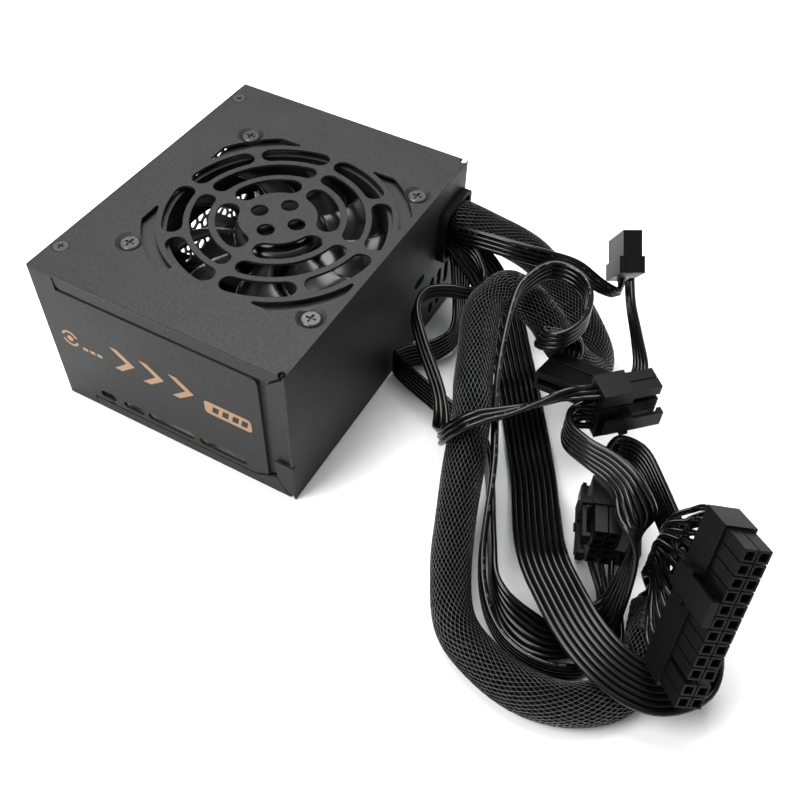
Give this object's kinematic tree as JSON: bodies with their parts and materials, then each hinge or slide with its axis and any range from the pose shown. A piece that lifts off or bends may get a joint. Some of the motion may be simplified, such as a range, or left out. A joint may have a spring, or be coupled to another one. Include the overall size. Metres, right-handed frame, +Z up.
{
  "type": "computer power supply unit",
  "caption": "Compact boxed computer power supply with a top fan behind a stamped grille, mains inlet and switch, and fixed output cables ending in connectors.",
  "frame": {"origin": "middle of the case's underside", "axes": "+X leaves through the cable panel, +Y runs along the long side, +Z is up out of the fan grille"},
  "size_m": [0.2498, 0.1687, 0.0724],
  "materials": {
    "case_steel": "fine textured matt black powder coat",
    "screws": "black oxide",
    "fan_plastic": "satin black",
    "braided_sleeve": "woven black monofilament",
    "wire_jacket": "glossy black PVC",
    "bearing_metal": "plain",
    "brass_parts": "plain",
    "heat_sink": "extruded",
    "circuit_board": "green laminate",
    "windings": "varnished copper wire",
    "yellow_tape": "polyester tape",
    "capacitor_sleeve": "shrunk sleeve",
    "magnet": "bonded ferrite",
    "insulation": "plain",
    "bushing_rubber": "matt",
    "component_plastic": "moulded epoxy",
    "connector_plastic": "fine moulded nylon"
  },
  "bodies": {
    "case": {"outer_shell": "case_steel", "inner_shell": "case_steel", "corner_screws": "screws", "fan_screws": "screws", "cable_bushing": "bushing_rubber", "fan_frame": "fan_plastic", "fan_bearing": "brass_parts", "fan_stator": "windings", "fan_board": "circuit_board", "fan_lead": "wire_jacket", "inlet_body": "connector_plastic", "inlet_pins": "bearing_metal", "switch_housing": "connector_plastic", "mains_leads": "wire_jacket", "main_board": "circuit_board", "board_pillars": "bearing_metal", "board_screws": "bearing_metal", "insulating_sheet": "insulation", "bulk_capacitor": "capacitor_sleeve", "boost_inductor": "windings", "main_transformer": "yellow_tape", "standby_transformer": "yellow_tape", "primary_heatsink": "heat_sink", "secondary_heatsink": "heat_sink", "power_transistors": "component_plastic", "bridge_rectifier": "component_plastic", "filter_choke": "windings", "filter_capacitor": "yellow_tape", "output_inductor": "windings", "output_capacitors": "capacitor_sleeve", "control_board": "circuit_board", "fuse": "insulation", "output_leads": "wire_jacket", "atx_cable": "braided_sleeve", "atx_wires": "wire_jacket", "cpu_cable": "wire_jacket", "pcie_cable": "wire_jacket", "sense_cable": "wire_jacket", "drive_cable": "wire_jacket", "drive_link": "wire_jacket", "drive_tail": "wire_jacket", "atx_shell_20": "connector_plastic", "atx_shell_4": "connector_plastic", "cpu_shell_a": "connector_plastic", "cpu_shell_b": "connector_plastic", "pcie_shell_6": "connector_plastic", "pcie_shell_2": "connector_plastic", "terminals": "brass_parts", "drive_plug_1": "connector_plastic", "drive_plug_2": "connector_plastic", "peripheral_plug": "connector_plastic"},
    "rotor": {"fan_rotor": "fan_plastic", "fan_magnet": "magnet", "fan_shaft": "bearing_metal"},
    "rocker": {"switch_rocker": "connector_plastic"},
    "atx_latch_body": {"atx_latch": "connector_plastic"},
    "cpu_latch_a_body": {"cpu_latch_a": "connector_plastic"},
    "cpu_latch_b_body": {"cpu_latch_b": "connector_plastic"},
    "pcie_latch_body": {"pcie_latch": "connector_plastic"}
  },
  "joints": [
    {"name": "fan_spin", "type": "hinge", "parent": "case", "child": "rotor", "pos_m": [0.0075, -0.001, 0.054], "axis": [0, 0, 1], "continuous": true},
    {"name": "rocker_tilt", "type": "hinge", "parent": "case", "child": "rocker", "pos_m": [-0.0488, -0.013, 0.03175], "axis": [0, 1, 0], "range_deg": [-18, 0]},
    {"name": "atx_latch_press", "type": "hinge", "parent": "case", "child": "atx_latch_body", "pos_m": [0.17655, -0.0616, 0.05085], "axis": [0.0279, -0.4877, -0.8726], "range_deg": [0, 6], "stiffness_Nm_per_rad": 0.03},
    {"name": "cpu_latch_a_press", "type": "hinge", "parent": "case", "child": "cpu_latch_a_body", "pos_m": [0.14119, -0.03763, 0.03185], "axis": [0, 0, -1], "range_deg": [0, 6], "stiffness_Nm_per_rad": 0.03},
    {"name": "cpu_latch_b_press", "type": "hinge", "parent": "case", "child": "cpu_latch_b_body", "pos_m": [0.14119, -0.03763, 0.02215], "axis": [0, 0, -1], "range_deg": [0, 6], "stiffness_Nm_per_rad": 0.03},
    {"name": "pcie_latch_press", "type": "hinge", "parent": "case", "child": "pcie_latch_body", "pos_m": [0.142, -0.00887, 0.0413], "axis": [0, 0, -1], "range_deg": [0, 6], "stiffness_Nm_per_rad": 0.03}
  ]
}
